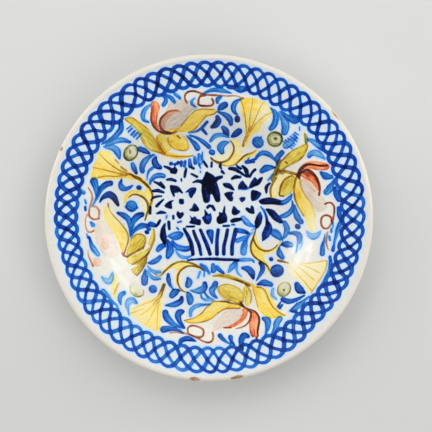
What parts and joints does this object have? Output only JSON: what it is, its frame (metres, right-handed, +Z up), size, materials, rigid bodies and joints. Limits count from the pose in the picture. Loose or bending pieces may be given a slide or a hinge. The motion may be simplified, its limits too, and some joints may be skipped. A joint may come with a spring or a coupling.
{
  "type": "deep dish",
  "caption": "Deep round serving dish with a flat well, sloping wall, broad rim turned up to a rolled lip, and a turned foot ring.",
  "frame": {"origin": "centre of the foot ring's resting face, on the surface the dish stands on", "axes": "+Z up along the axis of the dish, out of the well; +Y towards the top of the painted design; +X to its right"},
  "size_m": [0.3498, 0.3498, 0.063],
  "materials": {
    "glaze": "glossy white tin glaze with hand-painted blue, yellow, orange and brown decoration"
  },
  "bodies": {
    "root": {"dish": "glaze"}
  },
  "joints": []
}
